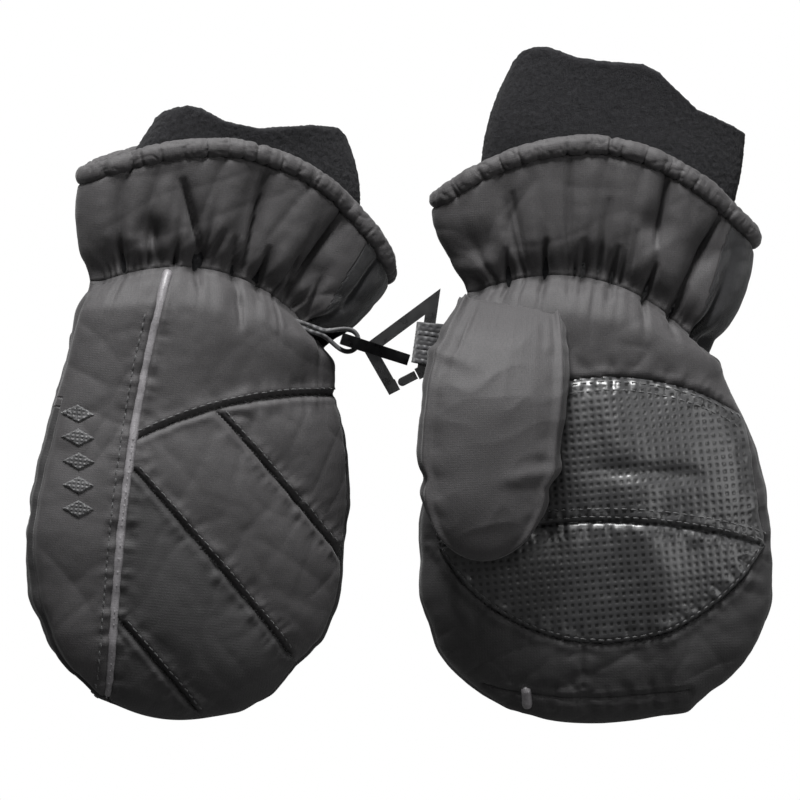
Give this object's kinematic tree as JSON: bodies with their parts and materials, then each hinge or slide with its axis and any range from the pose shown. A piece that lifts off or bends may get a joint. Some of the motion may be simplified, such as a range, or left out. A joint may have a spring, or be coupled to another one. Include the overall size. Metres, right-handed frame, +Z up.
{
  "type": "ski mitten",
  "caption": "Clipped pair of insulated ski mittens with flared gauntlets, fleece inner cuffs, embossed palm patches, piping and linked hooks.",
  "frame": {"origin": "bottom centre of the pair's bounding box, on the floor", "axes": "+Z up, +Y towards the cuffs, fingertips towards -Y, left mitten at -X"},
  "size_m": [0.2394, 0.2146, 0.0572],
  "materials": {
    "shell_nylon": "plain-woven nylon, faint sheen",
    "embossed_leather": "coated leather embossed with small square dimples",
    "velvet_gusset": "brushed dark stretch gusset",
    "elastic": "covered elastic",
    "wadding": "polyester wadding",
    "tricot_lining": "brushed tricot",
    "knitted_fleece": "knitted fleece with short nap",
    "reflective_piping": "retroreflective tape over cord",
    "hook_plastic": "moulded acetal",
    "webbing": "woven polyester webbing"
  },
  "bodies": {
    "left_mitten": {"left_side_back_panel": "shell_nylon", "left_upper_back_panel": "shell_nylon", "left_outer_back_panel": "shell_nylon", "left_middle_back_panel": "shell_nylon", "left_lower_back_panel": "shell_nylon", "left_tip_back_panel": "shell_nylon", "left_palm_patch_upper": "embossed_leather", "left_palm_patch_lower": "embossed_leather", "left_wrist_palm_panel": "shell_nylon", "left_palm_gusset": "shell_nylon", "left_gauntlet_gusset": "velvet_gusset", "left_gauntlet_back_panel": "shell_nylon", "left_gauntlet_palm_panel": "shell_nylon", "left_gauntlet_hem": "shell_nylon", "left_hem_elastic": "elastic", "left_wrist_elastic": "elastic", "left_hand_insulation": "wadding", "left_hand_lining": "tricot_lining", "left_fleece_cuff": "knitted_fleece", "left_reflective_piping": "reflective_piping", "left_webbing_loop": "webbing"},
    "left_thumb": {"left_thumb_outer_panel": "shell_nylon", "left_thumb_inner_panel": "shell_nylon", "left_thumb_insulation": "wadding", "left_thumb_lining": "tricot_lining"},
    "left_hook": {"left_hook_frame": "hook_plastic"},
    "left_gate": {"left_hook_gate": "hook_plastic"},
    "right_mitten": {"right_side_back_panel": "shell_nylon", "right_upper_back_panel": "shell_nylon", "right_outer_back_panel": "shell_nylon", "right_middle_back_panel": "shell_nylon", "right_lower_back_panel": "shell_nylon", "right_tip_back_panel": "shell_nylon", "right_palm_patch_upper": "embossed_leather", "right_palm_patch_lower": "embossed_leather", "right_wrist_palm_panel": "shell_nylon", "right_palm_gusset": "shell_nylon", "right_gauntlet_gusset": "velvet_gusset", "right_gauntlet_back_panel": "shell_nylon", "right_gauntlet_palm_panel": "shell_nylon", "right_gauntlet_hem": "shell_nylon", "right_hem_elastic": "elastic", "right_wrist_elastic": "elastic", "right_hand_insulation": "wadding", "right_hand_lining": "tricot_lining", "right_fleece_cuff": "knitted_fleece", "right_reflective_piping": "reflective_piping", "right_webbing_loop": "webbing"},
    "right_thumb": {"right_thumb_outer_panel": "shell_nylon", "right_thumb_inner_panel": "shell_nylon", "right_thumb_insulation": "wadding", "right_thumb_lining": "tricot_lining"},
    "right_hook": {"right_hook_frame": "hook_plastic"},
    "right_gate": {"right_hook_gate": "hook_plastic"}
  },
  "joints": [
    {"name": "left_thumb_fold", "type": "hinge", "parent": "left_mitten", "child": "left_thumb", "pos_m": [-0.07765, 0.03248, 0.01653], "axis": [0.9568, -0.0921, -0.2756], "range_deg": [0, 30]},
    {"name": "right_thumb_fold", "type": "hinge", "parent": "right_mitten", "child": "right_thumb", "pos_m": [0.03471, 0.02766, 0.02816], "axis": [-0.9994, -0.0349, 0], "range_deg": [0, 40]},
    {"name": "left_hook_swivel", "type": "hinge", "parent": "left_mitten", "child": "left_hook", "pos_m": [-0.01726, 0.01563, 0.0207], "axis": [0, 0, 1], "range_deg": [-15, 15]},
    {"name": "hook_link", "type": "hinge", "parent": "left_hook", "child": "right_hook", "pos_m": [-0.00675, 0.00691, 0.014], "axis": [0.4971, -0.8677, 0], "range_deg": [-15, 25]},
    {"name": "right_hook_swivel", "type": "hinge", "parent": "right_hook", "child": "right_mitten", "pos_m": [0.00843, 0.01702, 0.014], "axis": [-0.1409, -0.99, 0], "range_deg": [-30, 45]},
    {"name": "left_gate_spring", "type": "hinge", "parent": "left_hook", "child": "left_gate", "pos_m": [-0.01149, 0.01379, 0.00512], "axis": [0.304, 0.9527, 0], "range_deg": [0, 15], "stiffness_Nm_per_rad": 0.02},
    {"name": "right_gate_spring", "type": "hinge", "parent": "right_hook", "child": "right_gate", "pos_m": [0.00023, 0.00245, 0.014], "axis": [0, 0, 1], "range_deg": [0, 15], "stiffness_Nm_per_rad": 0.02}
  ]
}
